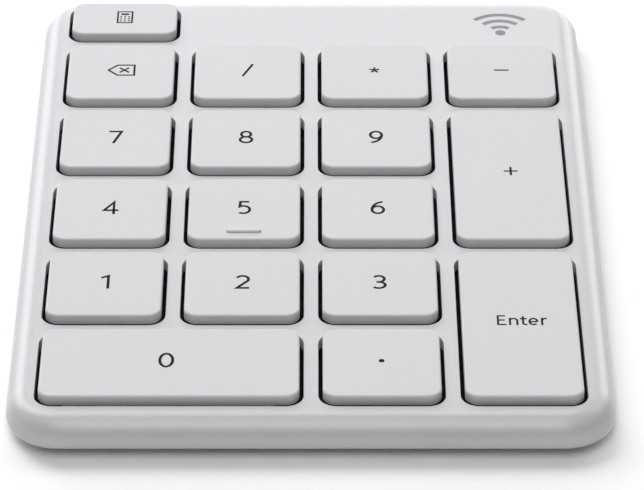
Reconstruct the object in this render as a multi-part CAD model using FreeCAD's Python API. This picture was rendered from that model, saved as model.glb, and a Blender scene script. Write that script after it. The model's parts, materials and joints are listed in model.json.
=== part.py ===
import FreeCAD, Part
import math
import os

# Slim wireless numeric keypad, in millimetres. X runs to the right, Y to the back, Z up.
# Z = 0 is the plane the foot pads stand on, and the case is centred on X = 0, Y = 0.

# Case
CASE_WIDTH = 81.75
CASE_DEPTH = 113.0
CASE_CORNER_R = 7.3
CASE_EDGE_R = 3.2
WALL = 1.3
INNER_EDGE_R = 1.0
DECK_Z = 6.1
DECK_THICKNESS = 0.8
TOP_CASE_BOTTOM_Z = 1.5
WALL_FOOT_R = 1.15
RIM_Z = 1.4
RIM_INSET = 1.2
BASE_Z = 0.7
BASE_INSET = 2.6
FLOOR = 0.7
FLOOR_Z = BASE_Z + FLOOR
LIP_TOP_Z = 2.9
LIP_GAP = 0.1
THROUGH_Z = FLOOR_Z + 0.05
LIP_WALL = 0.8
SNAP_X = (-25.0, 0.0, 25.0)
SNAP_HALF = 4.0
SNAP_Z = 2.3
SNAP_TOP_Z = 2.6
SNAP_REACH = 0.3
SNAP_CLEAR = 0.1
RIB_X = (-18.0, 0.0, 18.0)
RIB = 0.8
RIB_Y0 = -50.0
RIB_Y1 = -12.0
RIB_TOP_Z = 2.8

# Keys
PITCH = 19.0
CAP = 15.9
CAP_CORNER_R = 1.85
CAP_EDGE_R = 0.35
CAP_TOP_Z = 7.3
CAP_UNDER_Z = 6.4
SKIRT_Z = 5.85
SKIRT = 0.8
KEY_GAP = 0.56
OPENING_CHAMFER = 0.05
COLLAR = 1.0
FRONT_ROW_Y = -43.85
CALC_Y = 47.9
CALC_DEPTH = 9.4
BAR_WIDTH = 5.0
BAR_DEPTH = 0.9
BAR_HEIGHT = 0.3
BAR_EDGE_R = 0.28
BAR_Y = -5.85

# Support plate and membrane
PLATE_Z = 3.9
PLATE_TOP_Z = 4.22
MEMBRANE_TOP_Z = 4.4
PLATE_GAP = 0.3
FRAME_Z = 4.45
FRAME_TOP_Z = DECK_Z - DECK_THICKNESS - 0.02

# Scissor hinges: an outer and an inner frame that cross on two side pins
LINK_R = 0.27
LINK_PLAY = 0.05
LOW_Z = MEMBRANE_TOP_Z + LINK_PLAY + LINK_R
HIGH_Z = CAP_UNDER_Z - LINK_PLAY - LINK_R
ARM = 0.8
PIN_R = 0.2
PIN_HOLE_R = 0.24
PIN_BOSS_R = 0.38
PIN_SHORT = 0.1
OUTER_REACH = 5.2
INNER_REACH = 4.1
FRAME_WIDTH = 11.0
FRAME_GAP = 0.15
SMALL_FRAME_WIDTH = 7.2
HOOK_X = 2.6
SMALL_HOOK_X = 1.1
HOOK_WIDTH = 0.8
HOOK_POST = 0.35
HOOK_ROOF = 0.16
HOOK_GAP = 0.03
HOOK_SIDE_GAP = 0.1
NEAR_HOOK_SETBACK = 0.25
HOOK_LIP = 0.15
WINDOW_MARGIN = 0.2
WINDOW_HALF = 0.4

# Silicone domes, each with a flat crown, a bell and a foot ring
DOME_R = 2.8
DOME_TOP_Z = CAP_UNDER_Z - 0.02
DOME_CROWN_R = 1.45
DOME_WALL = 0.35
SMALL_DOME_SCALE = 0.6

# Levelling wires, laid out along local X with their arms towards local +Y
WIRE_R = 0.25
WIRE_PLAY = 0.05
WIRE_HALF = 14.0
WIRE_BAR_Y = -6.4
WIRE_BAR_Z = MEMBRANE_TOP_Z + WIRE_PLAY + WIRE_R
WIRE_TIP_Y = 0.1
WIRE_TIP_Z = CAP_UNDER_Z - WIRE_PLAY - WIRE_R
WIRE_TIP_X = 12.2
FIN_X = 13.0
FIN_WIDTH = 0.8
FIN_Y0 = -1.2
FIN_Y1 = 1.4
FIN_FLOOR = 0.18
CLIP_X = 9.0
CLIP_WIDTH = 1.5
CLIP_GAP = 0.08
CLIP_LIP = 0.3

# Coin cell, its door and its contacts
CELL_X = 0.0
CELL_Y = 6.0
CELL_R = 10.0
CELL_Z = 1.45
CELL_HEIGHT = 1.6
CELL_EDGE_R = 0.3
CELL_LID_R = 8.8
DOOR_R = 11.5
DOOR_GAP = 0.25
DOOR_Z = 0.75
DOOR_RING_TOP_Z = 2.0
RING_WALL = 0.9
DOOR_CHAMFER = 0.15
COIN_SLOT_HALF = 6.0
COIN_SLOT_WIDTH = 1.6
COIN_SLOT_END_R = 0.75
COIN_SLOT_DEPTH = 0.3
CELL_WALL_R = 13.3
CELL_WALL = 0.8
CELL_WALL_TOP_Z = 2.3
LEAF = 0.15
LEAF_HALF_X = 2.0
LEAF_TIP_Y = 2.0
LEAF_FOOT_Y = 18.0
LEAF_END_Y = 21.0
TAB_X0 = 5.0
TAB_X1 = 8.0
TAB_Y = 14.75
TAB_END_Y = 20.0
LUG_R = 12.8
LUG_WIDTH = 4.4
LUG_ANGLES = (90.0, 210.0, 330.0)
DOOR_TURN = 45.0

# Circuit board
BOARD_Z = 2.45
BOARD_TOP_Z = 3.05
PART_TOP_Z = 3.8
BOARD_X = 30.0
BOARD_Y0 = 17.3
BOARD_Y1 = 40.0
PEG_SEAT_R = 1.5
PEG_R = 0.8
PEG_HOLE_R = 0.9
PEGS = ((-26.0, 20.5), (26.0, 20.5), (-26.0, 37.0), (26.0, 37.0))
TAIL_X0 = 12.0
TAIL_X1 = 22.0
TAIL_Y = 39.0
TAIL_Z = 3.34
TAIL = 0.15
TAIL_END_Y = 36.6
CONNECTOR_Y0 = 33.4
CONNECTOR_Y1 = 37.0
CONNECTOR_SIDE = 1.5
CARRIER = (-15.0, -2.0, 25.0, 36.5)
CARRIER_TOP_Z = 3.25
SHIELD = (-14.3, -2.7, 25.6, 34.0)
SWITCH_HALF_Y = 1.5
SLIDE_SWITCH_LEFT = 3.5
SLIDE_SWITCH_RIGHT = 5.5
SLIDE_SWITCH_Z = 1.95
PUSH_SWITCH_HALF_X = 2.0
PUSH_SWITCH_Z = 2.05

# Controls on the underside
SLIDER_X = -20.0
SLIDER_Y = 30.0
SLIDER_TRAVEL = 2.0
BUTTON_X = 20.0
BUTTON_Y = 30.0
BUTTON_R = 1.8
FLANGE_R = BUTTON_R + 0.8
KNOB_HALF_X = 2.0
KNOB_HALF_Y = 1.1
KNOB_FLANGE_HALF_X = 4.5
KNOB_FLANGE_HALF_Y = 1.9
GROOVES = (-1.2, -0.4, 0.4, 1.2)

# Foot pads and screws
FOOT_X = 29.0
FOOT_Y = 46.3
FOOT_WIDTH = 12.0
FOOT_DEPTH = 4.4
FOOT_TOP_Z = 0.95
FOOT_R = 2.05
FOOT_EDGE_R = 0.25
FOOT_GAP = 0.15
POST_X = 15.0
POST_Y = 48.0
POST_R = 1.9
POST_Z = 2.0
POST_BOSS_R = 2.6
POST_BOSS_TOP_Z = 1.95
SCREW_HOLE_R = 0.82
SCREW_HOLE_TOP_Z = 4.4
SCREW_PASS_R = 0.86
SCREW_SEAT_R = 1.65
SCREW_SEAT_Z = 1.35
POST_CLEAR_R = 2.3
PLATE_SCREWS = (
    (-PITCH, 22.65), (PITCH, 22.65), (-PITCH, -15.35), (PITCH, -15.35), (0.0, -34.35), (0.0, 41.5),
)
BOSS_R = 1.8
BOSS_HOLE_R = 0.62
PLATE_HOLE_R = 0.8
FILM_HOLE_R = 0.9

# Screws: head radius, underside of head, seat of head, shank radius and tip
CASE_SCREW = (1.5, 0.85, 1.33, 0.78, 4.2)
PLATE_SCREW = (1.3, 3.4, PLATE_Z - 0.01, 0.58, FRAME_TOP_Z - 0.15)
HEAD_EDGE_R = 0.2
CROSS = 0.4
CROSS_DEPTH = 0.25

HALF_X = CASE_WIDTH / 2
HALF_Y = CASE_DEPTH / 2
FAR_HOOK_Y = OUTER_REACH + LINK_R + HOOK_SIDE_GAP
NEAR_HOOK_Y = INNER_REACH - LINK_R - NEAR_HOOK_SETBACK
CLIP_Y = WIRE_BAR_Y + WIRE_R + CLIP_GAP

# How far joined bodies run into each other before they are fused
SINK = 0.1

UP = FreeCAD.Vector(0, 0, 1)
ALONG_X = FreeCAD.Vector(1, 0, 0)


def vec(x, y, z):
    return FreeCAD.Vector(x, y, z)


def fuse(shapes):
    """One solid from several that touch or overlap."""
    return shapes[0].multiFuse(shapes[1:]).removeSplitter()


def box(x0, x1, y0, y1, z0, z1):
    return Part.makeBox(x1 - x0, y1 - y0, z1 - z0, vec(x0, y0, z0))


def disc(x, y, radius, z0, z1):
    return Part.makeCylinder(radius, z1 - z0, vec(x, y, z0), UP)


def rod(x0, x1, y, z, radius):
    """A round bar along X."""
    return Part.makeCylinder(radius, x1 - x0, vec(x0, y, z), ALONG_X)


def outline(half_x, half_y, radius, z):
    """A rectangle with round corners, as a closed wire about the Z axis."""
    edges = []
    inner_x = half_x - radius
    inner_y = half_y - radius
    centres = ((inner_x, inner_y), (-inner_x, inner_y), (-inner_x, -inner_y), (inner_x, -inner_y))
    corners = []
    for number, (x, y) in enumerate(centres):
        points = []
        for step in (0, 45, 90):
            angle = math.radians(90 * number + step)
            points.append(vec(x + radius * math.cos(angle), y + radius * math.sin(angle), z))
        corners.append(points)
    for number, points in enumerate(corners):
        following = corners[(number + 1) % 4]
        edges.append(Part.Arc(*points).toShape())
        edges.append(Part.makeLine(points[2], following[0]))
    return Part.Wire(edges)


def plate(half_x, half_y, radius, z0, z1):
    """A flat slab with round corners, about the Z axis."""
    face = Part.Face(outline(half_x, half_y, radius, z0))
    return face.extrude(vec(0, 0, z1 - z0))


def edges_at(shape, z):
    """The edges that lie wholly at one height."""
    found = []
    for edge in shape.Edges:
        limits = edge.BoundBox
        if abs(limits.ZMin - z) < 1e-4 and abs(limits.ZMax - z) < 1e-4:
            found.append(edge)
    return found


def moved(shape, x, y, turn=0.0):
    """A copy, turned about the Z axis and then moved to x, y."""
    copy = shape.copy()
    copy.rotate(vec(0, 0, 0), UP, turn)
    copy.translate(vec(x, y, 0))
    return copy


def column_x(column):
    return PITCH * (column - 1.5)


def row_y(row):
    return FRONT_ROW_Y + PITCH * row


def key(column, row, columns=1, rows=1):
    """Centre, size and mechanism turn of a key on the 19 mm grid."""
    return {
        "x": column_x(column) + PITCH * (columns - 1) / 2,
        "y": row_y(row) + PITCH * (rows - 1) / 2,
        "width": CAP + PITCH * (columns - 1),
        "depth": CAP + PITCH * (rows - 1),
        "turn": 90.0 if columns > 1 else 0.0,
        "wire_turn": 90.0 if rows > 1 else 0.0,
        "has_wire": columns > 1 or rows > 1,
        "small": False,
    }


def calculator_key():
    """The shallow key behind the left column."""
    found = key(0, 4)
    found["y"] = CALC_Y
    found["depth"] = CALC_DEPTH
    found["turn"] = 90.0
    found["small"] = True
    return found


KEYS = {
    "calc": calculator_key(),
    "backspace": key(0, 4),
    "divide": key(1, 4),
    "multiply": key(2, 4),
    "subtract": key(3, 4),
    "7": key(0, 3),
    "8": key(1, 3),
    "9": key(2, 3),
    "add": key(3, 2, rows=2),
    "4": key(0, 2),
    "5": key(1, 2),
    "6": key(2, 2),
    "1": key(0, 1),
    "2": key(1, 1),
    "3": key(2, 1),
    "enter": key(3, 0, rows=2),
    "0": key(0, 0, columns=2),
    "point": key(2, 0),
}


def plate_hooks(hook_x):
    """The stamped hooks that hold the low bars of both scissor frames."""
    shapes = []
    roof_z = LOW_Z + LINK_R + HOOK_GAP
    top = roof_z + HOOK_ROOF
    for side in (-1, 1):
        x0 = side * hook_x - HOOK_WIDTH / 2
        x1 = x0 + HOOK_WIDTH
        far = (-FAR_HOOK_Y, HOOK_LIP - OUTER_REACH)
        near = (NEAR_HOOK_Y, INNER_REACH + HOOK_LIP)
        for face_y, lip_y in (far, near):
            shapes.append(box(x0, x1, face_y - HOOK_POST, face_y, PLATE_TOP_Z, top))
            shapes.append(box(x0, x1, face_y - HOOK_POST, lip_y, roof_z, top))
    return fuse(shapes)


def window(x0, x1, y):
    """A narrow window through the membrane, about the line y."""
    return box(x0, x1, y - WINDOW_HALF, y + WINDOW_HALF, PLATE_TOP_Z - 1, MEMBRANE_TOP_Z + 1)


def hook_windows(hook_x):
    """The membrane windows that the plate's hooks stand in."""
    shapes = []
    half = HOOK_WIDTH / 2 + WINDOW_MARGIN
    for side in (-1, 1):
        x = side * hook_x
        for face_y in (-FAR_HOOK_Y, NEAR_HOOK_Y):
            y = face_y - HOOK_POST / 2
            shapes.append(window(x - half, x + half, y))
    return Part.makeCompound(shapes)


def cap_hooks(hook_x):
    """The hooks under a cap that hold the high bars of both scissor frames."""
    hooks = []
    floor_z = HIGH_Z - LINK_R - HOOK_GAP
    low = floor_z - HOOK_ROOF
    for side in (-1, 1):
        x0 = side * hook_x - HOOK_WIDTH / 2
        x1 = x0 + HOOK_WIDTH
        far = (FAR_HOOK_Y, OUTER_REACH - HOOK_LIP)
        near = (-NEAR_HOOK_Y, -INNER_REACH - HOOK_LIP)
        for face_y, lip_y in (far, near):
            post = box(x0, x1, face_y, face_y + HOOK_POST, low, CAP_UNDER_Z + SINK)
            lip = box(x0, x1, lip_y, face_y + HOOK_POST, low, floor_z)
            hooks.append(fuse([post, lip]))
    return hooks


def link(reach, width, slope, has_pins):
    """One scissor frame: two side arms, a bar at each end, and pins or pin holes at the middle."""
    middle_z = (LOW_Z + HIGH_Z) / 2
    rise = (HIGH_Z - LOW_Z) / 2
    half = math.hypot(reach, rise)
    angle = slope * math.degrees(math.atan2(rise, reach))
    half_width = width / 2
    shapes = []
    for side in (-1, 1):
        x0 = min(side * half_width, side * (half_width - ARM))
        shapes.append(box(x0, x0 + ARM, -half, half, -LINK_R, LINK_R))
        shapes.append(rod(x0, x0 + ARM, 0, 0, PIN_BOSS_R))
        if has_pins:
            pin = FRAME_GAP + ARM - PIN_SHORT
            pin_x = min(side * half_width, side * (half_width + pin))
            shapes.append(rod(pin_x, pin_x + pin, 0, 0, PIN_R))
    for y in (-half, half):
        shapes.append(rod(-half_width, half_width, y, 0, LINK_R))
    frame = fuse(shapes)
    if not has_pins:
        frame = frame.cut(rod(-half_width - 1, half_width + 1, 0, 0, PIN_HOLE_R))
    frame.rotate(vec(0, 0, 0), ALONG_X, angle)
    frame.translate(vec(0, 0, middle_z))
    return frame


def scissor(small):
    """The pair of crossed frames under one cap, as two separate solids."""
    width = SMALL_FRAME_WIDTH if small else FRAME_WIDTH
    inner_width = width - 2 * (ARM + FRAME_GAP)
    outer = link(OUTER_REACH, width, 1, False)
    inner = link(INNER_REACH, inner_width, -1, True)
    return Part.makeCompound([outer, inner])


def dome(scale):
    """A hollow silicone dome that stands on the membrane."""
    low = MEMBRANE_TOP_Z
    top = DOME_TOP_Z
    crown = DOME_CROWN_R
    profile = (
        (0.0, top), (crown - 0.1, top), (crown, top - 0.1), (crown, top - 0.45), (DOME_R - 0.6, low + 0.3),
        (DOME_R - 0.4, low + 0.2), (DOME_R, low + 0.2), (DOME_R, low), (DOME_R - 0.7, low),
        (DOME_R - 0.85, low + 0.25), (crown - DOME_WALL, top - 2 * DOME_WALL), (0.0, top - 2 * DOME_WALL),
    )
    points = [vec(radius * scale, 0, z) for radius, z in profile]
    face = Part.Face(Part.makePolygon(points + points[:1]))
    return face.revolve(vec(0, 0, 0), UP, 360)


def bent_wire(points, radius):
    """A round wire along straight runs, with ball corners."""
    shapes = []
    for start, end in zip(points, points[1:]):
        run = end.sub(start)
        shapes.append(Part.makeCylinder(radius, run.Length, start, run))
    for corner in points[1:-1]:
        shapes.append(Part.makeSphere(radius, corner))
    return fuse(shapes)


def levelling_wire():
    points = (
        vec(-WIRE_TIP_X, WIRE_TIP_Y, WIRE_TIP_Z),
        vec(-WIRE_HALF, WIRE_TIP_Y, WIRE_TIP_Z),
        vec(-WIRE_HALF, WIRE_BAR_Y, WIRE_BAR_Z),
        vec(WIRE_HALF, WIRE_BAR_Y, WIRE_BAR_Z),
        vec(WIRE_HALF, WIRE_TIP_Y, WIRE_TIP_Z),
        vec(WIRE_TIP_X, WIRE_TIP_Y, WIRE_TIP_Z),
    )
    return bent_wire(points, WIRE_R)


def wire_clips():
    """The two plate hooks that hold a levelling wire's long bar."""
    shapes = []
    roof_z = WIRE_BAR_Z + WIRE_R + HOOK_GAP
    for x in (-CLIP_X, CLIP_X):
        x0 = x - CLIP_WIDTH / 2
        x1 = x + CLIP_WIDTH / 2
        shapes.append(box(x0, x1, CLIP_Y, CLIP_Y + HOOK_POST, PLATE_TOP_Z, roof_z + HOOK_ROOF))
        shapes.append(box(x0, x1, WIRE_BAR_Y - CLIP_LIP, CLIP_Y + HOOK_POST, roof_z, roof_z + HOOK_ROOF))
    return fuse(shapes)


def clip_windows():
    """The membrane windows of a levelling wire's clips."""
    y = CLIP_Y + HOOK_POST / 2
    half = CLIP_WIDTH / 2 + WINDOW_MARGIN
    shapes = []
    for x in (-CLIP_X, CLIP_X):
        shapes.append(window(x - half, x + half, y))
    return Part.makeCompound(shapes)


def wire_fins():
    """The slotted fins under a long cap that the wire's tips ride in."""
    shapes = []
    for x in (-FIN_X, FIN_X):
        low = WIRE_TIP_Z - WIRE_R - WIRE_PLAY
        half = FIN_WIDTH / 2
        fin = box(x - half, x + half, FIN_Y0, FIN_Y1, low - FIN_FLOOR, CAP_UNDER_Z + SINK)
        slot = box(x - 1, x + 1, WIRE_TIP_Y - WIRE_R - 0.15, FIN_Y1 + 1, low, CAP_UNDER_Z)
        shapes.append(fin.cut(slot))
    return shapes


def key_cap(name, spec):
    """A hollow cap with a soft top edge, and the hooks and fins moulded under it."""
    half_x = spec["width"] / 2
    half_y = spec["depth"] / 2
    body = plate(half_x, half_y, CAP_CORNER_R, SKIRT_Z, CAP_TOP_Z)
    body = body.makeFillet(CAP_EDGE_R, edges_at(body, CAP_TOP_Z))
    hollow = plate(half_x - SKIRT, half_y - SKIRT, CAP_CORNER_R - SKIRT, SKIRT_Z - 1, CAP_UNDER_Z)
    shapes = [body.cut(hollow)]
    hook_x = SMALL_HOOK_X if spec["small"] else HOOK_X
    for hook in cap_hooks(hook_x):
        shapes.append(moved(hook, 0, 0, spec["turn"]))
    if spec["has_wire"]:
        for fin in wire_fins():
            shapes.append(moved(fin, 0, 0, spec["wire_turn"]))
    if name == "5":
        top = CAP_TOP_Z + BAR_HEIGHT
        bar = plate(BAR_WIDTH / 2, BAR_DEPTH / 2, BAR_DEPTH / 2 - 0.01, CAP_TOP_Z - SINK, top)
        bar = bar.makeFillet(BAR_EDGE_R, edges_at(bar, top))
        shapes.append(moved(bar, 0, BAR_Y))
    return moved(fuse(shapes), spec["x"], spec["y"])


def key_openings():
    """The key openings with their small edge chamfer, as one tool to cut with."""
    tools = []
    corner_r = CAP_CORNER_R + KEY_GAP
    for spec in KEYS.values():
        half_x = spec["width"] / 2 + KEY_GAP
        half_y = spec["depth"] / 2 + KEY_GAP
        opening = plate(half_x, half_y, corner_r, FRAME_Z - 1, DECK_Z + 1)
        chamfer = Part.makeLoft([
            outline(half_x, half_y, corner_r, DECK_Z - OPENING_CHAMFER),
            outline(half_x + OPENING_CHAMFER, half_y + OPENING_CHAMFER, corner_r + OPENING_CHAMFER, DECK_Z),
        ], True, True)
        tools.append(moved(fuse([opening, chamfer]), spec["x"], spec["y"]))
    return Part.makeCompound(tools)


def top_case():
    """The deck with its key openings, the rolled edge, the walls and the two screw posts."""
    shell = plate(HALF_X, HALF_Y, CASE_CORNER_R, TOP_CASE_BOTTOM_Z, DECK_Z)
    shell = shell.makeFillet(CASE_EDGE_R, edges_at(shell, DECK_Z))
    shell = shell.makeFillet(WALL_FOOT_R, edges_at(shell, TOP_CASE_BOTTOM_Z))
    roof_z = DECK_Z - DECK_THICKNESS
    hollow = plate(HALF_X - WALL, HALF_Y - WALL, CASE_CORNER_R - WALL, TOP_CASE_BOTTOM_Z - 1, roof_z)
    hollow = hollow.makeFillet(INNER_EDGE_R, edges_at(hollow, roof_z))
    shapes = [shell.cut(hollow)]
    cuts = [key_openings()]
    for x in (-POST_X, POST_X):
        shapes.append(disc(x, POST_Y, POST_R, POST_Z, roof_z + SINK))
        cuts.append(disc(x, POST_Y, SCREW_HOLE_R, 1.0, SCREW_HOLE_TOP_Z))
    inner_y = WALL - HALF_Y
    half = SNAP_HALF + 2 * SNAP_CLEAR
    low = SNAP_Z - SNAP_CLEAR
    high = SNAP_TOP_Z + 2 * SNAP_CLEAR
    for x in SNAP_X:
        cuts.append(box(x - half, x + half, inner_y - SNAP_REACH - SNAP_CLEAR, inner_y + 1, low, high))
    case = fuse(shapes)
    for tool in cuts:
        case = case.cut(tool)
    return case


def key_frame():
    """The dark grid between the deck and the membrane, with the bosses the plate is screwed to."""
    shapes = []
    corner_r = CAP_CORNER_R + KEY_GAP + COLLAR
    for spec in KEYS.values():
        reach = KEY_GAP + COLLAR
        collar = plate(spec["width"] / 2 + reach, spec["depth"] / 2 + reach, corner_r, FRAME_Z, FRAME_TOP_Z)
        shapes.append(moved(collar, spec["x"], spec["y"]))
    for x, y in PLATE_SCREWS:
        shapes.append(disc(x, y, BOSS_R, FRAME_Z, FRAME_TOP_Z))
    grid = fuse(shapes).cut(key_openings())
    holes = [disc(x, y, BOSS_HOLE_R, FRAME_Z - 1, FRAME_TOP_Z - 0.1) for x, y in PLATE_SCREWS]
    return grid.cut(Part.makeCompound(holes))


def door_sector(radius, width, angle, z0, z1):
    """A block on the cell's axis that ends on a circle, for a door lug or its notch."""
    block = box(DOOR_R - 0.6, radius + 1, -width / 2, width / 2, z0, z1)
    block = block.common(disc(0, 0, radius, z0, z1))
    return moved(block, 0, 0, angle)


def bottom_case():
    """The tapered tray with its lip, board posts, cell ring, door hole and control openings."""
    tray = Part.makeLoft([
        outline(HALF_X - BASE_INSET, HALF_Y - BASE_INSET, CASE_CORNER_R - 2.0, BASE_Z),
        outline(HALF_X - RIM_INSET, HALF_Y - RIM_INSET, CASE_CORNER_R - RIM_INSET, RIM_Z),
    ], True, True)
    lip_inset = WALL + LIP_GAP
    seat_z = FLOOR_Z - SINK
    lip = plate(HALF_X - lip_inset, HALF_Y - lip_inset, CASE_CORNER_R - lip_inset, seat_z, LIP_TOP_Z)
    core_inset = lip_inset + LIP_WALL
    core_x = HALF_X - core_inset
    core = plate(core_x, HALF_Y - core_inset, CASE_CORNER_R - core_inset, FLOOR_Z, LIP_TOP_Z + 1)
    shapes = [fuse([tray, lip]).cut(core)]
    lip_y = lip_inset - HALF_Y
    for x in SNAP_X:
        ends = (x - SNAP_HALF, x + SNAP_HALF)
        shapes.append(box(*ends, lip_y - SNAP_REACH, lip_y + 2 * SINK, SNAP_Z, SNAP_TOP_Z))
    wall = disc(CELL_X, CELL_Y, CELL_WALL_R + CELL_WALL, seat_z, CELL_WALL_TOP_Z)
    shapes.append(wall.cut(disc(CELL_X, CELL_Y, CELL_WALL_R, 0, CELL_WALL_TOP_Z + 1)))
    for x, y in PEGS:
        shapes.append(disc(x, y, PEG_SEAT_R, seat_z, BOARD_Z))
        shapes.append(disc(x, y, PEG_R, FLOOR_Z, BOARD_TOP_Z + 0.3))
    for x in (-POST_X, POST_X):
        shapes.append(disc(x, POST_Y, POST_BOSS_R, seat_z, POST_BOSS_TOP_Z))
    for x in RIB_X:
        shapes.append(box(x - RIB / 2, x + RIB / 2, RIB_Y0, RIB_Y1, seat_z, RIB_TOP_Z))
    case = fuse(shapes)
    cuts = [disc(CELL_X, CELL_Y, DOOR_R + DOOR_GAP, 0, THROUGH_Z)]
    for angle in LUG_ANGLES:
        notch = door_sector(LUG_R + 0.3, LUG_WIDTH + 0.8, angle + DOOR_TURN, 0, THROUGH_Z)
        cuts.append(moved(notch, CELL_X, CELL_Y))
    for x in (-FOOT_X, FOOT_X):
        for y in (-FOOT_Y, FOOT_Y):
            recess_x = FOOT_WIDTH / 2 + FOOT_GAP
            recess = plate(recess_x, FOOT_DEPTH / 2 + FOOT_GAP, FOOT_R + FOOT_GAP, 0, FOOT_TOP_Z)
            cuts.append(moved(recess, x, y))
    for x in (-POST_X, POST_X):
        cuts.append(disc(x, POST_Y, SCREW_SEAT_R, 0, SCREW_SEAT_Z))
        cuts.append(disc(x, POST_Y, SCREW_PASS_R, 0, POST_BOSS_TOP_Z + 1))
    slot = plate(KNOB_HALF_X + 0.15 + SLIDER_TRAVEL / 2, KNOB_HALF_Y + 0.2, 0.5, 0, THROUGH_Z)
    cuts.append(moved(slot, SLIDER_X + SLIDER_TRAVEL / 2, SLIDER_Y))
    cuts.append(disc(BUTTON_X, BUTTON_Y, BUTTON_R + DOOR_GAP, 0, THROUGH_Z))
    for tool in cuts:
        case = case.cut(tool)
    return case


def support_plate():
    """The steel plate under the keys, with stamped hooks, screw holes and the tail's slot."""
    half_x = HALF_X - WALL - PLATE_GAP
    half_y = HALF_Y - WALL - PLATE_GAP
    sheet = plate(half_x, half_y, CASE_CORNER_R - WALL - PLATE_GAP, PLATE_Z, PLATE_TOP_Z)
    low = PLATE_Z - 1
    high = PLATE_TOP_Z + 1
    cuts = [box(TAIL_X0 - 0.5, TAIL_X1 + 0.5, TAIL_Y - 0.5, TAIL_Y + 0.8, low, high)]
    for x, y in PLATE_SCREWS:
        cuts.append(disc(x, y, PLATE_HOLE_R, low, high))
    for x in (-POST_X, POST_X):
        cuts.append(disc(x, POST_Y, POST_CLEAR_R, low, high))
    shapes = [sheet.cut(Part.makeCompound(cuts))]
    for spec in KEYS.values():
        hook_x = SMALL_HOOK_X if spec["small"] else HOOK_X
        shapes.append(moved(plate_hooks(hook_x), spec["x"], spec["y"], spec["turn"]))
        if spec["has_wire"]:
            shapes.append(moved(wire_clips(), spec["x"], spec["y"], spec["wire_turn"]))
    return fuse(shapes)


def membrane():
    """The laminated switch sheet on the plate, and the tail that drops to the board."""
    inset = 2 * WALL
    sheet = plate(HALF_X - inset, HALF_Y - inset, CASE_CORNER_R - inset, PLATE_TOP_Z, MEMBRANE_TOP_Z)
    low = PLATE_Z - 1
    high = MEMBRANE_TOP_Z + 1
    cuts = [box(TAIL_X0 - 0.5, TAIL_X1 + 0.5, TAIL_Y + TAIL, TAIL_Y + 1.0, low, high)]
    for x, y in PLATE_SCREWS:
        cuts.append(disc(x, y, FILM_HOLE_R, low, high))
    for x in (-POST_X, POST_X):
        cuts.append(disc(x, POST_Y, POST_CLEAR_R, low, high))
    for spec in KEYS.values():
        hook_x = SMALL_HOOK_X if spec["small"] else HOOK_X
        cuts.append(moved(hook_windows(hook_x), spec["x"], spec["y"], spec["turn"]))
        if spec["has_wire"]:
            cuts.append(moved(clip_windows(), spec["x"], spec["y"], spec["wire_turn"]))
    sheet = sheet.cut(Part.makeCompound(cuts))
    drop = box(TAIL_X0, TAIL_X1, TAIL_Y, TAIL_Y + TAIL, TAIL_Z, MEMBRANE_TOP_Z)
    run = box(TAIL_X0, TAIL_X1, TAIL_END_Y, TAIL_Y + TAIL, TAIL_Z, TAIL_Z + TAIL)
    return fuse([sheet, drop, run])


def circuit_board():
    board = box(-BOARD_X, BOARD_X, BOARD_Y0, BOARD_Y1, BOARD_Z, BOARD_TOP_Z)
    holes = [disc(x, y, PEG_HOLE_R, BOARD_Z - 1, BOARD_TOP_Z + 1) for x, y in PEGS]
    return board.cut(Part.makeCompound(holes))


def membrane_connector():
    x0 = TAIL_X0 - CONNECTOR_SIDE
    x1 = TAIL_X1 + CONNECTOR_SIDE
    body = box(x0, x1, CONNECTOR_Y0, CONNECTOR_Y1, BOARD_TOP_Z, PART_TOP_Z)
    low = TAIL_Z - 0.05
    high = TAIL_Z + TAIL + 0.05
    mouth = box(TAIL_X0 - 0.1, TAIL_X1 + 0.1, TAIL_END_Y - 0.1, CONNECTOR_Y1 + 1, low, high)
    return body.cut(mouth)


def radio_module():
    """A shielded radio module on its own small carrier."""
    carrier = box(*CARRIER, BOARD_TOP_Z, CARRIER_TOP_Z)
    shield = box(*SHIELD, CARRIER_TOP_Z - 0.05, PART_TOP_Z)
    return fuse([carrier, shield])


def board_switches():
    """The slide switch and the push switch on the board's underside."""
    slide_x = (SLIDER_X - SLIDE_SWITCH_LEFT, SLIDER_X + SLIDE_SWITCH_RIGHT)
    slide_y = (SLIDER_Y - SWITCH_HALF_Y, SLIDER_Y + SWITCH_HALF_Y)
    slide = box(*slide_x, *slide_y, SLIDE_SWITCH_Z, BOARD_Z)
    push_x = (BUTTON_X - PUSH_SWITCH_HALF_X, BUTTON_X + PUSH_SWITCH_HALF_X)
    push_y = (BUTTON_Y - SWITCH_HALF_Y, BUTTON_Y + SWITCH_HALF_Y)
    push = box(*push_x, *push_y, PUSH_SWITCH_Z, BOARD_Z)
    return Part.makeCompound([slide, push])


def coin_cell():
    top = CELL_Z + CELL_HEIGHT
    can = disc(CELL_X, CELL_Y, CELL_R, CELL_Z, top - CELL_EDGE_R)
    can = can.makeFillet(CELL_EDGE_R, edges_at(can, CELL_Z))
    lid = disc(CELL_X, CELL_Y, CELL_LID_R, top - CELL_EDGE_R - SINK, top)
    return fuse([can, lid])


def contact_minus():
    """The leaf on top of the cell, held on the board."""
    top = BOARD_TOP_Z + LEAF
    leaf = box(-LEAF_HALF_X, LEAF_HALF_X, LEAF_TIP_Y, LEAF_END_Y, BOARD_TOP_Z + 0.03, top)
    foot = box(-LEAF_HALF_X, LEAF_HALF_X, LEAF_FOOT_Y, LEAF_END_Y, BOARD_TOP_Z, top)
    return fuse([leaf, foot])


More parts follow.
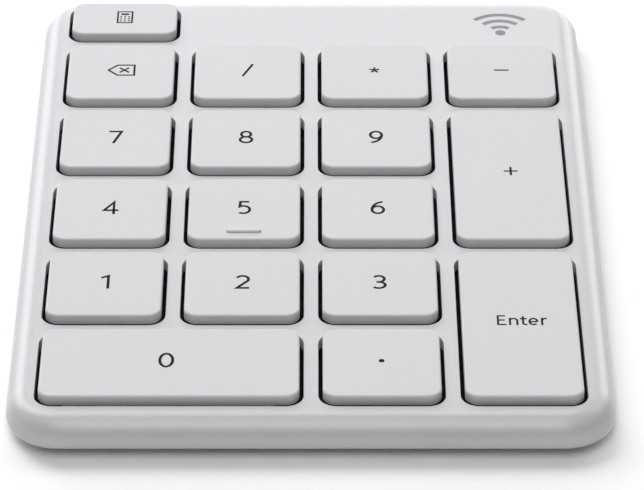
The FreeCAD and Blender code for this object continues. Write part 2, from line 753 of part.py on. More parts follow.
def contact_plus():
    """The leaf against the cell's side."""
    top = BOARD_TOP_Z + LEAF
    tab = box(TAB_X0, TAB_X1, TAB_Y, TAB_Y + LEAF, DOOR_RING_TOP_Z + 0.1, top)
    foot = box(TAB_X0, TAB_X1, TAB_Y, TAB_END_Y, BOARD_TOP_Z, top)
    return fuse([tab, foot])


def battery_door():
    """A twist-off disc with three lugs, a raised ring round the cell and a coin slot."""
    cover = disc(0, 0, DOOR_R, DOOR_Z, FLOOR_Z)
    cover = cover.makeChamfer(DOOR_CHAMFER, edges_at(cover, DOOR_Z))
    ring = disc(0, 0, DOOR_R, FLOOR_Z - SINK, DOOR_RING_TOP_Z)
    ring = ring.cut(disc(0, 0, DOOR_R - RING_WALL, 0, DOOR_RING_TOP_Z + 1))
    shapes = [cover, ring]
    for angle in LUG_ANGLES:
        shapes.append(door_sector(LUG_R, LUG_WIDTH, angle, FLOOR_Z + 0.1, DOOR_RING_TOP_Z))
    slot = plate(COIN_SLOT_HALF, COIN_SLOT_WIDTH / 2, COIN_SLOT_END_R, 0, DOOR_Z + COIN_SLOT_DEPTH)
    return moved(fuse(shapes).cut(slot), CELL_X, CELL_Y)


def power_slider():
    """The sliding knob, with a flange that stays over its slot and a ribbed face."""
    knob = plate(KNOB_HALF_X, KNOB_HALF_Y, 0.4, DOOR_Z, FLOOR_Z + SINK)
    grooves = [box(x - 0.15, x + 0.15, -2, 2, DOOR_Z - 1, DOOR_Z + 0.2) for x in GROOVES]
    flange = plate(KNOB_FLANGE_HALF_X, KNOB_FLANGE_HALF_Y, 0.3, FLOOR_Z + 0.05, FLOOR_Z + 0.4)
    return moved(fuse([knob.cut(Part.makeCompound(grooves)), flange]), SLIDER_X, SLIDER_Y)


def pairing_button():
    face_z = DOOR_Z + 0.05
    stem = disc(0, 0, BUTTON_R, face_z, FLOOR_Z + SINK)
    stem = stem.makeFillet(0.2, edges_at(stem, face_z))
    flange = disc(0, 0, FLANGE_R, FLOOR_Z + 0.03, FLOOR_Z + 0.35)
    return moved(fuse([stem, flange]), BUTTON_X, BUTTON_Y)


def foot_pads():
    pad = plate(FOOT_WIDTH / 2, FOOT_DEPTH / 2, FOOT_R, 0, FOOT_TOP_Z)
    pad = pad.makeFillet(FOOT_EDGE_R, edges_at(pad, 0))
    pads = []
    for x in (-FOOT_X, FOOT_X):
        for y in (-FOOT_Y, FOOT_Y):
            pads.append(moved(pad, x, y))
    return Part.makeCompound(pads)


def screw(head_r, head_z0, head_z1, shank_r, tip_z):
    """A cross-head screw driven upward, about the Z axis."""
    head = disc(0, 0, head_r, head_z0, head_z1)
    head = head.makeFillet(HEAD_EDGE_R, edges_at(head, head_z0))
    body = fuse([head, disc(0, 0, shank_r, head_z1 - SINK, tip_z)])
    arm = head_r * 0.6
    half = CROSS / 2
    deep = head_z0 + CROSS_DEPTH
    bars = [box(-arm, arm, -half, half, head_z0 - 1, deep), box(-half, half, -arm, arm, head_z0 - 1, deep)]
    return body.cut(fuse(bars))


def case_screws():
    one = screw(*CASE_SCREW)
    return Part.makeCompound([moved(one, x, POST_Y) for x in (-POST_X, POST_X)])


def plate_screws():
    one = screw(*PLATE_SCREW)
    return Part.makeCompound([moved(one, x, y) for x, y in PLATE_SCREWS])


def rubber_domes():
    domes = []
    for spec in KEYS.values():
        scale = SMALL_DOME_SCALE if spec["small"] else 1.0
        domes.append(moved(dome(scale), spec["x"], spec["y"]))
    return Part.makeCompound(domes)


def write(name, shape):
    shape.exportStep("parts/" + name + ".step")


os.makedirs("parts", exist_ok=True)

for key_name, key_spec in KEYS.items():
    write("key_" + key_name, key_cap(key_name, key_spec))
    pair = scissor(key_spec["small"])
    write("scissor_" + key_name, moved(pair, key_spec["x"], key_spec["y"], key_spec["turn"]))
    if key_spec["has_wire"]:
        wire = moved(levelling_wire(), key_spec["x"], key_spec["y"], key_spec["wire_turn"])
        write("wire_" + key_name, wire)

write("top_case", top_case())
write("key_frame", key_frame())
write("bottom_case", bottom_case())
write("support_plate", support_plate())
write("membrane", membrane())
write("rubber_domes", rubber_domes())
write("circuit_board", circuit_board())
write("radio_module", radio_module())
write("membrane_connector", membrane_connector())
write("board_switches", board_switches())
write("coin_cell", coin_cell())
write("contact_minus", contact_minus())
write("contact_plus", contact_plus())
write("battery_door", battery_door())
write("power_slider", power_slider())
write("pairing_button", pairing_button())
write("foot_pads", foot_pads())
write("case_screws", case_screws())
write("plate_screws", plate_screws())
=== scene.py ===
import json
import math

import bpy
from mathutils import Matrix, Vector

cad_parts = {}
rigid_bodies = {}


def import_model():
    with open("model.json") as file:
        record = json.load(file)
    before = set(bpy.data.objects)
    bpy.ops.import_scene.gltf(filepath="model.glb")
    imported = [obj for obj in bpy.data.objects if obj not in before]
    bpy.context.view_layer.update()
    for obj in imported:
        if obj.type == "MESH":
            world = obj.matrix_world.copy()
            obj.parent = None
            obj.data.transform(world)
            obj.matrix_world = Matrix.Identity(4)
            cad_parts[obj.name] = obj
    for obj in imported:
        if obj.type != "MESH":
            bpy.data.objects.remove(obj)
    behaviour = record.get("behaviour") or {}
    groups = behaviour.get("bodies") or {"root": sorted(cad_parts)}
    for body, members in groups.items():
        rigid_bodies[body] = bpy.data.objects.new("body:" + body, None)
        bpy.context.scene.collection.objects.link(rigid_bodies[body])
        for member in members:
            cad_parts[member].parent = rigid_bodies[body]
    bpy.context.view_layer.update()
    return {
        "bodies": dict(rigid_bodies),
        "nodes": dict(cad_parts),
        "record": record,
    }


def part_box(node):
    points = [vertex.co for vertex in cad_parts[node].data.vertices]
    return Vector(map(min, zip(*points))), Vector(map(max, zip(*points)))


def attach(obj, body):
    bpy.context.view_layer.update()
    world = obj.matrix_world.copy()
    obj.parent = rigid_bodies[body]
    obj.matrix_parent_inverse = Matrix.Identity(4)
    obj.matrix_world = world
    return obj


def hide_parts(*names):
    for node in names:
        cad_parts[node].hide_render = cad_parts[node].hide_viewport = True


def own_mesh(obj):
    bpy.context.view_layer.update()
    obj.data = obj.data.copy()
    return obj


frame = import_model()

MM = 0.001

# The camera, at the photograph's viewing angle. Film width and lens are in millimetres, the pitch
# is in degrees below level, and the clip distances are in metres
SENSOR_WIDTH = 36.0
LENS = 229.2
CAMERA_PITCH = 33.38
CAMERA_PLACE = (0.0, -495.8 * MM, 323.9 * MM)
CAMERA_SHIFT_X = 0.017
NEAR_CLIP = 0.01
FAR_CLIP = 20.0

# The studio: square soft lights, their two tints, the faint light from all round and the floor.
# Distances and sizes are in metres
LIGHT_DISTANCE = 1.1
LIGHT_SIZE = 0.5
COOL = (0.985, 0.99, 1.015)
NEUTRAL = (1.0, 1.0, 0.99)
WHITE = (1.0, 1.0, 1.0, 1.0)
WORLD_STRENGTH = 0.004
FLOOR_SIZE = 6.0
FLOOR_DARK = (0.95, 0.95, 0.95)
FLOOR_LIGHT = (0.97, 0.97, 0.97)

# Printed marks, in millimetres. Ink stands INK_RISE above a face and reaches INK_DEPTH into it,
# and each stroke of a mark lies INK_LAYER above the one before, so crossing strokes never share
# a surface.
INK_RISE = 0.012
INK_LAYER = 0.0015
INK_DEPTH = 0.03
LEGEND_SHIFT = 0.26
DIGIT_HEIGHT = 3.4
DIGIT_STROKE = 0.41
WORD_STROKE = 0.29
ICON_STROKE = 0.31
SIGN_STROKE = 0.8
SIGN_RING = 1.8
SIGN_SHIFT_X = 0.45
SIGN_Y = 45.5
SMALL_STROKE = 0.25
SMALL_RING = 0.6
MITRE_LIMIT = 0.35
CLOSED_GAP = 1e-6

# Silicone domes, in millimetres
DOME_FOOT_R = 2.8
DOME_TOP_R = 1.45
DOME_WALL = 0.25
DOME_HEAD = 0.45
DOME_POLE_R = 0.002
DOME_BELL_STEPS = 8
SMALL_DOME_SCALE = 0.6
DOME_SIDES = 48

nodes = frame["nodes"]
scene = bpy.context.scene
KEYS = [name[len("cap_"):] for name in frame["bodies"] if name.startswith("cap_")]


# ---------------------------------------------------------------- materials

class Shader:
    """A node material with one Principled shader, and short calls for the nodes that feed it."""

    def __init__(self, name):
        self.material = bpy.data.materials.new(name)
        self.material.use_nodes = True
        self.tree = self.material.node_tree
        self.surface = self.tree.nodes["Principled BSDF"]
        self.place = self.add("ShaderNodeTexCoord").outputs["Object"]

    def add(self, kind, **settings):
        node = self.tree.nodes.new(kind)
        for key, value in settings.items():
            setattr(node, key, value)
        return node

    def join(self, source, target):
        self.tree.links.new(source, target)

    def set(self, **values):
        """Sets constant values on the shader's own sockets."""
        for key, value in values.items():
            self.surface.inputs[key.replace("_", " ")].default_value = value

    def stretched(self, x, y, z):
        """The object's coordinates, scaled by axis for grain with a direction."""
        node = self.add("ShaderNodeMapping")
        node.inputs["Scale"].default_value = (x, y, z)
        self.join(self.place, node.inputs["Vector"])
        return node.outputs["Vector"]

    def noise(self, scale, detail=2.0, roughness=0.5, place=None):
        """Soft noise at a scale per metre, as a factor."""
        node = self.add("ShaderNodeTexNoise")
        node.inputs["Scale"].default_value = scale
        node.inputs["Detail"].default_value = detail
        node.inputs["Roughness"].default_value = roughness
        self.join(place or self.place, node.inputs["Vector"])
        return node.outputs["Fac"]

    def bands(self, scale, distortion):
        """Wandering diagonal lines, as a factor."""
        node = self.add("ShaderNodeTexWave", wave_type="BANDS", bands_direction="DIAGONAL")
        node.inputs["Scale"].default_value = scale
        node.inputs["Distortion"].default_value = distortion
        node.inputs["Detail"].default_value = 0.0
        self.join(self.place, node.inputs["Vector"])
        return node.outputs["Fac"]

    def cells(self, scale):
        """The distance to the nearest border between irregular cells."""
        node = self.add("ShaderNodeTexVoronoi", feature="DISTANCE_TO_EDGE")
        node.inputs["Scale"].default_value = scale
        self.join(self.place, node.inputs["Vector"])
        return node.outputs["Distance"]

    def ramp(self, source, low, high, value_low=0.0, value_high=1.0):
        """Maps the low..high part of a factor's range to two plain values."""
        node = self.add("ShaderNodeMapRange")
        limits = {"From Min": low, "From Max": high, "To Min": value_low, "To Max": value_high}
        for key, value in limits.items():
            node.inputs[key].default_value = value
        self.join(source, node.inputs["Value"])
        return node.outputs["Result"]

    def colours(self, factor, first, second):
        """Blends two colours by a factor into the base colour."""
        node = self.add("ShaderNodeMix", data_type="RGBA")
        node.inputs[6].default_value = (*first, 1.0)
        node.inputs[7].default_value = (*second, 1.0)
        self.join(factor, node.inputs["Factor"])
        self.join(node.outputs[2], self.surface.inputs["Base Color"])

    def middle(self, source, value_low=0.0, value_high=1.0):
        """Spreads the middle of a noise's range, where most of it lies, between two values."""
        return self.ramp(source, 0.3, 0.7, value_low, value_high)

    def roughness(self, source, value_low, value_high):
        """Varies the roughness between two values."""
        spread = self.middle(source, value_low, value_high)
        self.join(spread, self.surface.inputs["Roughness"])

    def bump(self, *layers):
        """Stacks bumps; each layer is a height source, its depth in millimetres and its strength."""
        normal = None
        for height, depth, strength in layers:
            node = self.add("ShaderNodeBump")
            node.inputs["Strength"].default_value = strength
            node.inputs["Distance"].default_value = depth * MM
            self.join(height, node.inputs["Height"])
            if normal is not None:
                self.join(normal, node.inputs["Normal"])
            normal = node.outputs["Normal"]
        self.join(normal, self.surface.inputs["Normal"])


def shade(colour, amount):
    """A colour made lighter or darker."""
    return tuple(channel * amount for channel in colour)


def moulded_plastic(name, colour, roughness, grain=5200.0, depth=0.006, specular=0.5):
    """Matte moulded plastic: a fine spark-eroded grain over very shallow, slow unevenness."""
    made = Shader(name)
    cloud = made.noise(70.0, 3.0)
    fine = made.noise(grain, 2.0, 0.6)
    made.colours(made.middle(cloud), shade(colour, 0.985), colour)
    made.roughness(fine, roughness - 0.04, roughness + 0.04)
    made.bump((fine, depth, 0.25), (made.noise(160.0, 1.0), 0.01, 0.2))
    made.set(Specular_IOR_Level=specular)
    return made.material


def printed_ink(name, colour):
    """Pad-printed ink, a little uneven in cover and sheen."""
    made = Shader(name)
    cover = made.noise(9000.0, 3.0, 0.7)
    made.colours(made.ramp(cover, 0.35, 0.75), colour, shade(colour, 1.35))
    made.roughness(cover, 0.6, 0.75)
    made.bump((cover, 0.003, 0.3))
    made.set(Specular_IOR_Level=0.15)
    return made.material


def soft_rubber(name, colour, roughness, sheen=0.0):
    """Rubber or silicone with a faint moulding grain."""
    made = Shader(name)
    fine = made.noise(3000.0, 3.0, 0.6)
    made.colours(made.middle(made.noise(400.0)), shade(colour, 0.9), shade(colour, 1.08))
    made.roughness(fine, roughness - 0.06, roughness + 0.06)
    made.bump((fine, 0.01, 0.3))
    made.set(Sheen_Weight=sheen, Specular_IOR_Level=0.35)
    return made.material


def silicone():
    """Milky silicone: soft scattering under a satin skin."""
    made = Shader("silicone")
    fine = made.noise(2500.0, 2.0)
    made.colours(made.middle(fine), (0.62, 0.65, 0.66), (0.70, 0.73, 0.74))
    made.roughness(fine, 0.38, 0.5)
    made.bump((fine, 0.004, 0.2))
    made.set(Subsurface_Weight=0.2, Subsurface_Scale=0.5 * MM)
    return made.material


def metal(name, colour, roughness, stretch=(1.0, 1.0, 1.0), grain=2500.0, depth=0.002):
    """Metal with a rolled or drawn grain along its least stretched axis, and faint stains."""
    made = Shader(name)
    lines = made.noise(grain, 4.0, 0.6, made.stretched(*stretch))
    stains = made.noise(220.0, 3.0)
    made.colours(made.ramp(stains, 0.35, 0.7), shade(colour, 0.92), colour)
    made.roughness(lines, roughness - 0.08, roughness + 0.1)
    made.bump((lines, depth, 0.3))
    made.set(Metallic=1.0)
    return made.material


def membrane_film():
    """Film painted near-black as painted shade for the gaps round the keys, with the tracks between
    its layers just standing out.
    """
    made = Shader("membrane_film")
    tracks = made.bands(230.0, 3.0)
    printed_tracks = made.ramp(tracks, 0.82, 0.86)
    # Both colours are near-black painted shade, darker than real film, so the gaps round the keys
    # read as deep shadow; the faint specular keeps the film from catching light. The tracks are the
    # film's own print.
    made.colours(printed_tracks, (0.002, 0.002, 0.002), (0.005, 0.005, 0.005))
    made.join(made.ramp(tracks, 0.82, 0.86, 0.65, 0.5), made.surface.inputs["Roughness"])
    made.bump((tracks, 0.01, 0.2), (made.noise(900.0), 0.004, 0.2))
    made.set(Specular_IOR_Level=0.05)
    return made.material


def board_laminate():
    """Green solder mask over copper tracks, which stand up a little through it."""
    made = Shader("board_laminate")
    tracks = made.cells(420.0)
    made.colours(made.ramp(tracks, 0.03, 0.06), (0.05, 0.22, 0.09), (0.02, 0.12, 0.045))
    made.roughness(made.noise(1500.0), 0.28, 0.4)
    made.bump((made.ramp(tracks, 0.02, 0.07, 1.0, 0.0), 0.03, 0.5))
    made.set(Coat_Weight=0.4, Coat_Roughness=0.2)
    return made.material


# Linear colours of the parts
SHELL = (0.56, 0.564, 0.57)
CONTROL_GREY = (0.27, 0.275, 0.285)
HINGE_BLACK = (0.011, 0.011, 0.012)
CONNECTOR_BLACK = (0.02, 0.02, 0.022)
# The frame's near-black is painted shade: darker than real plastic, so the frame reads as deep
# shadow.
FRAME_PAINTED_SHADE = (0.003, 0.003, 0.0032)
RUBBER_GREY = (0.055, 0.055, 0.057)

MATERIALS = {
    "case_plastic": moulded_plastic("case_plastic", SHELL, 0.30),
    "key_plastic": moulded_plastic("key_plastic", SHELL, 0.42),
    "base_plastic": moulded_plastic(
        "base_plastic", shade(SHELL, 0.95), 0.55, grain=2600.0, depth=0.012
    ),
    "door_plastic": moulded_plastic(
        "door_plastic", shade(SHELL, 0.93), 0.5, grain=3200.0, depth=0.01
    ),
    "control_plastic": moulded_plastic("control_plastic", CONTROL_GREY, 0.5),
    "hinge_plastic": moulded_plastic(
        "hinge_plastic", HINGE_BLACK, 0.5, grain=3000.0, depth=0.003
    ),
    "connector_plastic": moulded_plastic(
        "connector_plastic", CONNECTOR_BLACK, 0.45, grain=2500.0
    ),
    # Near-black colour with faint specular: painted shade, so the frame catches almost no light.
    "frame_plastic": moulded_plastic("frame_plastic", FRAME_PAINTED_SHADE, 0.75, specular=0.08),
    "membrane_film": membrane_film(),
    "board_laminate": board_laminate(),
    "silicone": silicone(),
    "foot_rubber": soft_rubber("foot_rubber", RUBBER_GREY, 0.8, sheen=0.1),
    "plate_steel": metal("plate_steel", (0.035, 0.035, 0.037), 0.5, stretch=(0.04, 1.0, 1.0)),
    "shield_steel": metal("shield_steel", (0.70, 0.70, 0.68), 0.3, stretch=(1.0, 0.06, 1.0)),
    "cell_steel": metal("cell_steel", (0.74, 0.74, 0.71), 0.22, grain=6000.0, depth=0.001),
    "spring_steel": metal(
        "spring_steel", (0.60, 0.60, 0.60), 0.26, stretch=(0.3, 0.3, 1.0), grain=8000.0
    ),
    "screw_steel": metal("screw_steel", (0.52, 0.53, 0.55), 0.3, grain=9000.0),
}
LEGEND_INK = printed_ink("legend_ink", (0.004, 0.0042, 0.005))
MARK_INK = printed_ink("mark_ink", (0.1, 0.102, 0.106))
SIGN_INK = printed_ink("sign_ink", (0.23, 0.235, 0.245))


def dress(obj, material):
    """Gives an object one material."""
    obj.data.materials.clear()
    obj.data.materials.append(material)


for part in frame["record"]["subparts"]:
    dress(nodes[part["node"]], MATERIALS[part["material_slot"]])


# ---------------------------------------------------------------- printed marks

def arc(centre, radii, start, end, steps=24):
    """Points along an ellipse from one angle to another, in degrees."""
    points = []
    for step in range(steps + 1):
        angle = math.radians(start + (end - start) * step / steps)
        x = centre[0] + radii[0] * math.cos(angle)
        y = centre[1] + radii[1] * math.sin(angle)
        points.append((x, y))
    return points


def turned(stroke):
    """A stroke turned half way round."""
    return [(-x, -y) for x, y in stroke]


# Digits as strokes about their middle, about one unit high
SIX = [
    arc((0.0, -0.17), (0.245, 0.275), 180, 540, 32),
    arc((0.24, -0.17), (0.485, 0.60), 180, 100, 16) + [(0.21, 0.415)],
]

DIGITS = {
    "0": [arc((-0.145, 0.04), (0.255, 0.445), 90, 450, 40)],
    "1": [[(-0.17, 0.3), (0.12, 0.45), (0.12, -0.48)]],
    "2": [arc((0.0, 0.2), (0.245, 0.245), 155, -25) + [(-0.225, -0.43), (0.28, -0.43)]],
    "3": [
        arc((-0.03, 0.225), (0.225, 0.22), 145, -90) + [(-0.13, 0.005)],
        [(-0.13, 0.005)] + arc((-0.04, -0.22), (0.265, 0.225), 90, -140),
    ],
    "4": [[(0.13, -0.5), (0.13, 0.41), (-0.275, -0.21), (0.33, -0.21)]],
    "5": [
        [(0.2, 0.445), (-0.16, 0.445), (-0.19, 0.06)]
        + arc((-0.04, -0.16), (0.27, 0.285), 105, -128),
    ],
    "6": SIX,
    "7": [[(-0.31, 0.445), (0.23, 0.445), (-0.11, -0.5)]],
    "8": [
        arc((0.0, 0.225), (0.205, 0.22), 90, 450, 32),
        arc((0.0, -0.215), (0.255, 0.23), 90, 450, 32),
    ],
    "9": [turned(stroke) for stroke in SIX],
}

# The word on the tall key, letter by letter, in millimetres from the middle of its base line
WORD = [
    [(-2.37, 2.33), (-3.42, 2.33), (-3.42, 0.15), (-2.23, 0.15)],
    [(-3.42, 1.27), (-2.45, 1.27)],
    [(-1.72, 1.8), (-1.72, 0.0)],
    arc((-1.2, 1.1), (0.52, 0.55), 180, 0, 20) + [(-0.68, 0.0)],
    [(0.15, 2.2), (0.15, 0.5)] + arc((0.5, 0.5), (0.35, 0.35), 190, 270, 10) + [(0.73, 0.17)],
    [(-0.3, 1.6), (0.67, 1.6)],
    [(1.1, 0.86), (2.15, 0.86)],
    arc((1.615, 0.9), (0.565, 0.75), -3, 312, 32),
    [(2.85, 1.8), (2.85, 0.0)],
    arc((3.4, 1.05), (0.55, 0.6), 180, 75, 12),
]


def scaled(strokes, scale, right=0.0, up=0.0):
    """Strokes scaled about their origin and then shifted."""
    return [[(x * scale + right, y * scale + up) for x, y in stroke] for stroke in strokes]


def rectangle(width, height, x=0.0, y=0.0):
    """A closed rectangular stroke about a middle."""
    half_x = width / 2
    half_y = height / 2
    signs = ((-1, -1), (1, -1), (1, 1), (-1, 1), (-1, -1))
    return [(x + right * half_x, y + up * half_y) for right, up in signs]


def star(arms, radius):
    """Separate arms from the middle, the first one upright."""
    strokes = []
    for arm in range(arms):
        angle = math.radians(90 + 360 * arm / arms)
        strokes.append([(0.0, 0.0), (radius * math.cos(angle), radius * math.sin(angle))])
    return strokes


def dots(columns, rows, pitch, size, y):
    """A grid of small square dots, each one a short stroke."""
    strokes = []
    for column in range(columns):
        for row in range(rows):
            x = (column - (columns - 1) / 2) * pitch
            middle = y + (row - (rows - 1) / 2) * pitch
            strokes.append([(x - size / 2, middle), (x + size / 2, middle)])
    return strokes


# Icons, in millimetres about the middle of their cap
BACKSPACE = [
    [(2.0, 0.0), (2.0, 1.45), (-0.5, 1.45), (-1.9, 0.0), (-0.5, -1.45), (2.0, -1.45), (2.0, 0.0)],
    [(-0.2, 0.66), (1.2, -0.66)],
    [(-0.2, -0.66), (1.2, 0.66)],
]
CALCULATOR = [
    rectangle(2.2, 3.3),
    [(-0.6, 1.0), (0.6, 1.0)],
    [(-0.6, 0.8), (0.6, 0.8)],
] + dots(3, 3, 0.62, 0.3, -0.5)
POINT_R = 0.2
POINT = [arc((0.0, 0.0), (POINT_R, POINT_R), 90, 450, 16)]


def radio_sign(scale, stroke):
    """A generic radio sign: a dot with three arcs that open upwards."""
    dot_r = stroke / 2
    strokes = [arc((0.0, 0.0), (dot_r, dot_r), 90, 450, 16)]
    for ring in (1, 2, 3):
        strokes.append(arc((0.0, 0.0), (ring * scale, ring * scale), 45, 135, 8 + 8 * ring))
    return strokes


# Each key's strokes and how wide they are drawn
LEGENDS = {
    "calc": (CALCULATOR, 0.26),
    "backspace": (BACKSPACE, ICON_STROKE),
    "divide": ([[(-0.75, -1.75), (0.75, 1.75)]], 0.37),
    "multiply": (star(5, 0.78), 0.32),
    "subtract": ([[(-1.05, 0.0), (1.15, 0.0)]], 0.34),
    "add": ([[(-0.7, 0.2), (1.3, 0.2)], [(0.3, -0.9), (0.3, 1.3)]], 0.32),
    "enter": (scaled(WORD, 0.96, 0.3, -1.04), WORD_STROKE),
    "point": (POINT, POINT_R * 2),
}
for digit, outline in DIGITS.items():
    LEGENDS[digit] = (scaled(outline, DIGIT_HEIGHT), DIGIT_STROKE)


def stroke_sides(points, width, closed):
    """The left and right points of a stroke, mitred at its corners."""
    count = len(points)
    sides = []
    for number, point in enumerate(points):
        runs = []
        if closed or number > 0:
            runs.append((point - points[number - 1]).normalized())
        if closed or number < count - 1:
            runs.append((points[(number + 1) % count] - point).normalized())
        along = (runs[0] + runs[-1]).normalized()
        across = Vector((-along.y, along.x))
        reach = width / 2 / max(MITRE_LIMIT, abs(along.dot(runs[0])))
        sides.append((point + across * reach, point - across * reach))
    return sides


def add_stroke(verts, faces, stroke, width, low, high):
    """Adds one stroke to a mesh as a thin closed solid between two heights."""
    points = [Vector(point) for point in stroke]
    closed = (points[0] - points[-1]).length < CLOSED_GAP
    if closed:
        points = points[:-1]
    base = len(verts)
    for left, right in stroke_sides(points, width, closed):
        for side, height in ((left, high), (right, high), (right, low), (left, low)):
            verts.append((side.x, side.y, height))
    count = len(points)
    for number in range(count if closed else count - 1):
        here = base + 4 * number
        there = base + 4 * ((number + 1) % count)
        for corner in range(4):
            following = (corner + 1) % 4
            faces.append((here + corner, here + following, there + following, there + corner))
    if not closed:
        last = base + 4 * (count - 1)
        faces.append((base + 3, base + 2, base + 1, base))
        faces.append((last, last + 1, last + 2, last + 3))


def add_mesh(name, verts, faces, material, smooth):
    """Links a new mesh piece with one material."""
    mesh = bpy.data.meshes.new(name)
    mesh.from_pydata(verts, [], faces)
    for face in mesh.polygons:
        face.use_smooth = smooth
    mesh.update()
    piece = bpy.data.objects.new(name, mesh)
    scene.collection.objects.link(piece)
    dress(piece, material)
    return piece


def printed(name, strokes, width, centre, face_z, body, ink, facing=1):
    """Ink strokes on a flat face, up or down, as one piece that rides with a body."""
    verts = []
    faces = []
    for number, stroke in enumerate(strokes):
        rise = INK_RISE + INK_LAYER * number
        add_stroke(verts, faces, stroke, width, -INK_DEPTH, rise)
    placed = []
    for x, y, z in verts:
        right = (centre[0] + x * facing) * MM
        back = (centre[1] + y) * MM
        up = (face_z + z * facing) * MM
        placed.append((right, back, up))
    piece = add_mesh(name, placed, faces, ink, smooth=False)
    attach(piece, body)


def middle_of(node_name):
    """The middle of a node's box seen from above, and its top, in millimetres."""
    lowest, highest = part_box(node_name)
    return (
        (lowest[0] + highest[0]) / 2 / MM,
        (lowest[1] + highest[1]) / 2 / MM,
        highest[2] / MM,
    )


CAP_FACE_Z = middle_of("key_1")[2]

for key_name, (strokes, width) in LEGENDS.items():
    x, y, _ = middle_of("key_" + key_name)
    spot = (x, y + LEGEND_SHIFT)
    cap = "cap_" + key_name
    printed("legend_" + key_name, strokes, width, spot, CAP_FACE_Z, cap, LEGEND_INK)

DECK_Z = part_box("top_case")[1][2] / MM
SIGN_CENTRE = (middle_of("key_subtract")[0] + SIGN_SHIFT_X, SIGN_Y)
SIGN = radio_sign(SIGN_RING, SIGN_STROKE)
printed("radio_sign", SIGN, SIGN_STROKE, SIGN_CENTRE, DECK_Z, "case", SIGN_INK)

# Marks on the underside: a closed and an open padlock beside the door, a small radio sign beside
# the pairing button, the off and on marks at the two ends of the slider's slot, and a short line
# on the door, which turns with it from the closed padlock to the open one
BASE_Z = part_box("bottom_case")[0][2] / MM
DOOR_X, DOOR_Y, _ = middle_of("battery_door")
SLIDER_X, SLIDER_Y, _ = middle_of("power_slider")
BUTTON_X, BUTTON_Y, _ = middle_of("pairing_button")
SHACKLE = [(-0.55, 0.4)] + arc((0.0, 1.0), (0.55, 0.6), 180, 0, 12) + [(0.55, 0.4)]
OPEN_SHACKLE = [(-0.55, 0.4)] + arc((0.0, 1.3), (0.55, 0.6), 180, 0, 12)
LOCK_BODY = rectangle(1.7, 1.3, 0.0, -0.3)
RING_MARK = [arc((0.0, 0.0), (0.6, 0.6), 90, 450, 24)]
BAR_MARK = [[(0.0, -0.7), (0.0, 0.7)]]
UNDER_MARKS = {
    "lock_mark": ([LOCK_BODY, SHACKLE], (DOOR_X, DOOR_Y - 17.0)),
    "unlock_mark": ([LOCK_BODY, OPEN_SHACKLE], (DOOR_X + 12.0, DOOR_Y - 12.0)),
    "pairing_mark": (radio_sign(SMALL_RING, SMALL_STROKE), (BUTTON_X, BUTTON_Y + 3.4)),
    "off_mark": (RING_MARK, (SLIDER_X - 4.0, SLIDER_Y)),
    "on_mark": (BAR_MARK, (SLIDER_X + 6.0, SLIDER_Y)),
}
for mark_name, (strokes, spot) in UNDER_MARKS.items():
    printed(
        mark_name, strokes, SMALL_STROKE, spot, BASE_Z, "case", MARK_INK, facing=-1
    )
DOOR_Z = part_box("battery_door")[0][2] / MM
DOOR_SPOT = (DOOR_X, DOOR_Y - 9.6)
printed(
    "door_mark", BAR_MARK, SMALL_STROKE, DOOR_SPOT, DOOR_Z, "door", MARK_INK, facing=-1
)


# ---------------------------------------------------------------- pieces under each key

def lathed(profile, centre, sides):
    """Verts and faces of a closed profile of radius and height, turned about an upright axis."""
    verts = []
    faces = []
    count = len(profile)
    for side in range(sides):
        angle = 2 * math.pi * side / sides
        for radius, height in profile:
            x = centre[0] + radius * math.cos(angle)
            y = centre[1] + radius * math.sin(angle)
            verts.append((x * MM, y * MM, height * MM))
    for side in range(sides):
        here = side * count
        there = ((side + 1) % sides) * count
        for number in range(count - 1):
            faces.append((here + number, there + number, there + number + 1, here + number + 1))
    return verts, faces


def dome_profile(low, top, scale):
    """A dome's section from the crown's outside, down its bell and back up inside."""
    head = top - DOME_HEAD
    outside = [(DOME_POLE_R, top), (DOME_TOP_R - 0.12, top), (DOME_TOP_R - 0.03, top - 0.03)]
    outside += [(DOME_TOP_R, top - 0.12), (DOME_TOP_R, head)]
    for step in range(1, DOME_BELL_STEPS + 1):
        part = step / DOME_BELL_STEPS
        radius = DOME_TOP_R + (DOME_FOOT_R - 0.35 - DOME_TOP_R) * part
        height = head - (head - low - 0.2) * (0.35 * part + 0.65 * part ** 2.2)
        outside.append((radius, height))
    outside += [(DOME_FOOT_R, low + 0.18), (DOME_FOOT_R, low)]
    inside = [(DOME_FOOT_R - 0.7, low), (DOME_FOOT_R - 0.95, low + DOME_WALL)]
    inside += [(DOME_TOP_R - 0.35, head - DOME_WALL), (DOME_POLE_R, head - DOME_WALL)]
    return [(radius * scale, height) for radius, height in outside + inside]


MEMBRANE_Z = middle_of("membrane")[2]


def flatten(piece):
    """Gives a piece its own copy of its mesh."""
    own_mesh(piece)


def scissor_piece(key_name):
    """A copy of the scissor pair's own mesh, riding with the case in place of the hidden original.
    """
    source = nodes["scissor_" + key_name]
    piece = source.copy()
    piece.data = source.data.copy()
    piece.name = "hinge_" + key_name
    scene.collection.objects.link(piece)
    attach(piece, "case")
    flatten(piece)
    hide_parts("scissor_" + key_name)


def dome_piece(key_name):
    """One silicone dome, riding with the case in place of the hidden imported domes."""
    x, y, _ = middle_of("key_" + key_name)
    scale = SMALL_DOME_SCALE if key_name == "calc" else 1.0
    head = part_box("rubber_domes")[1][2] / MM
    verts, faces = lathed(dome_profile(MEMBRANE_Z, head, scale), (x, y), DOME_SIDES)
    piece = add_mesh("dome_" + key_name, verts, faces, MATERIALS["silicone"], smooth=True)
    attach(piece, "case")
    flatten(piece)
    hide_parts("rubber_domes")


for key_name in KEYS:
    scissor_piece(key_name)
    dome_piece(key_name)


# ---------------------------------------------------------------- floor, camera and light

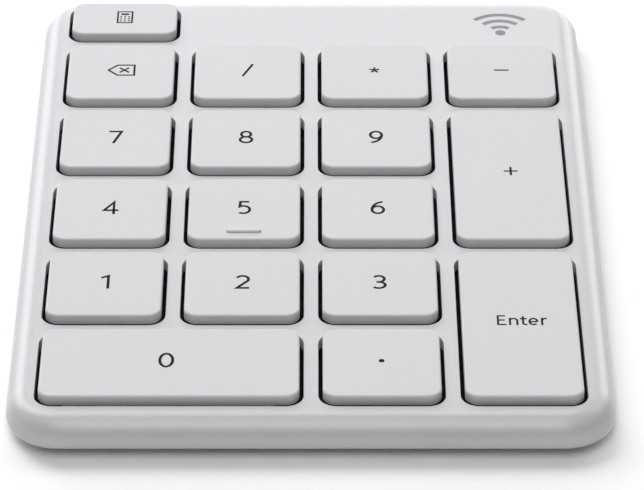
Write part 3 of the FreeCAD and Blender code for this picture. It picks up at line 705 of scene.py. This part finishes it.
def stage_floor():
    """A plain pale floor."""
    bpy.ops.mesh.primitive_plane_add(size=FLOOR_SIZE)
    floor = bpy.context.object
    floor.name = "floor"
    made = Shader("floor_paper")
    made.colours(made.middle(made.noise(30.0)), FLOOR_DARK, FLOOR_LIGHT)
    made.set(Roughness=0.9, Specular_IOR_Level=0.1)
    floor.data.materials.append(made.material)


def stage_camera():
    """The camera in front of the object, looking down at it."""
    data = bpy.data.cameras.new("camera")
    data.sensor_width = SENSOR_WIDTH
    data.lens = LENS
    data.shift_x = CAMERA_SHIFT_X
    data.clip_start = NEAR_CLIP
    data.clip_end = FAR_CLIP
    camera = bpy.data.objects.new("camera", data)
    camera.location = CAMERA_PLACE
    camera.rotation_euler = (math.radians(90 - CAMERA_PITCH), 0.0, 0.0)
    scene.collection.objects.link(camera)
    scene.camera = camera


def softbox(name, elevation, azimuth, strength, colour):
    """A square area light that faces the object; azimuth 0 is the back and 90 the left."""
    level = math.cos(math.radians(elevation)) * LIGHT_DISTANCE
    place = Vector((
        -math.sin(math.radians(azimuth)) * level,
        math.cos(math.radians(azimuth)) * level,
        math.sin(math.radians(elevation)) * LIGHT_DISTANCE,
    ))
    data = bpy.data.lights.new(name, "AREA")
    data.size = LIGHT_SIZE
    data.color = colour
    data.energy = strength * (math.pi * LIGHT_DISTANCE) ** 2
    light = bpy.data.objects.new(name, data)
    light.location = place
    light.rotation_euler = (-place).to_track_quat("-Z", "Y").to_euler()
    scene.collection.objects.link(light)


def stage_light():
    """Soft lights all round, the strongest high at the back left, and hardly any fill."""
    world = bpy.data.worlds.new("studio")
    world.use_nodes = True
    background = world.node_tree.nodes["Background"]
    background.inputs["Color"].default_value = WHITE
    background.inputs["Strength"].default_value = WORLD_STRENGTH
    scene.world = world
    softbox("low_back_light", 19, 0, 0.20, COOL)
    softbox("low_left_light", 10, 30, 0.20, COOL)
    softbox("low_right_light", 10, 330, 0.235, COOL)
    softbox("left_light", 33, 45, 0.27, COOL)
    softbox("right_light", 44, 307, 0.13, COOL)
    softbox("high_back_light", 58, 0, 0.22, COOL)
    softbox("high_left_light", 58, 45, 0.30, COOL)
    softbox("top_light", 80, 180, 0.10, NEUTRAL)
    softbox("high_front_light", 60, 180, 0.23, NEUTRAL)
    softbox("front_light", 42, 180, 0.14, NEUTRAL)
    scene.view_settings.view_transform = "Standard"


stage_floor()
stage_camera()
stage_light()
